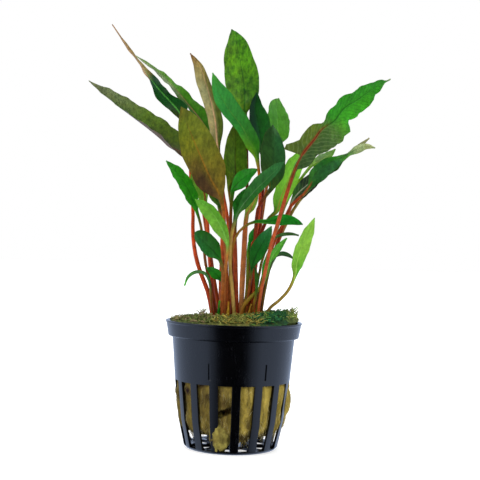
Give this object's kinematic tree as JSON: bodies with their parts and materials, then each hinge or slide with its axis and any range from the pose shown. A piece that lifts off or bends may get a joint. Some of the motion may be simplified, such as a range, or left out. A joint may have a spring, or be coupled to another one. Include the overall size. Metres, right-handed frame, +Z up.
{
  "type": "potted cryptocoryne",
  "caption": "Young cryptocoryne with upright green, bronze and olive leaves on thin reddish stalks, in a small black net pot with mineral wool and moss.",
  "frame": {"origin": "centre of the pot's underside, on the ground under the pot's axis", "axes": "+Z up along the pot's axis, -Y towards the side that the picture shows, +X to its right"},
  "size_m": [0.121, 0.0769, 0.1749],
  "materials": {
    "pot_plastic": "black, satin, moulded",
    "mineral_wool": "yellow-olive felted fibres",
    "moss_mat": "olive-green tangled strands",
    "olive_leaf": "olive with a red-brown midrib, satin",
    "dark_leaf": "dark green, satin",
    "green_leaf": "green with a red-brown midrib, satin",
    "bronze_leaf": "olive-bronze with red-brown edges, satin",
    "grey_pink_leaf": "one half grey-pink and one half olive, matt",
    "bright_leaf": "bright green, satin",
    "mottled_leaf": "mottled green and yellow-green, satin",
    "bluish_leaf": "dark bluish green, satin",
    "light_leaf": "light green, satin",
    "grey_green_leaf": "grey-green underside, matt",
    "straw_shoot": "straw-yellow, matt"
  },
  "bodies": {
    "root": {"pot": "pot_plastic", "rockwool": "mineral_wool", "moss": "moss_mat", "leaf_left_long": "olive_leaf", "leaf_far_left": "dark_leaf", "leaf_wavy_back": "green_leaf", "leaf_big_bronze": "bronze_leaf", "leaf_grey_pink": "grey_pink_leaf", "leaf_bright_crossing": "bright_leaf", "leaf_top_mottled": "mottled_leaf", "leaf_dark_upper": "dark_leaf", "leaf_dark_centre": "bluish_leaf", "leaf_back_right": "bright_leaf", "leaf_olive_middle": "olive_leaf", "leaf_green_middle": "green_leaf", "leaf_green_lower": "green_leaf", "leaf_dark_front": "bluish_leaf", "leaf_light_front": "light_leaf", "leaf_right_large": "green_leaf", "leaf_right_dark": "grey_green_leaf", "leaf_right_forked": "grey_green_leaf", "leaf_small_pale": "light_leaf", "leaf_dark_behind": "grey_green_leaf", "leaf_left_bright": "bright_leaf", "leaf_left_light": "light_leaf", "leaf_left_oval": "dark_leaf", "leaf_left_small": "dark_leaf", "leaf_left_strap": "green_leaf", "leaf_right_strap": "light_leaf", "leaf_level_dark": "dark_leaf", "leaf_right_small": "bright_leaf", "leaf_thin_upper": "green_leaf", "leaf_thin_lower": "green_leaf", "leaf_front_oval": "dark_leaf", "leaf_middle_small": "bright_leaf", "leaf_narrow_bright": "bright_leaf", "leaf_dark_spear": "dark_leaf", "leaf_yellow_middle": "light_leaf", "leaf_light_inner": "light_leaf", "leaf_olive_inner": "olive_leaf", "sprout_left": "bright_leaf", "sprout_middle": "straw_shoot", "sprout_right": "straw_shoot"}
  },
  "joints": []
}
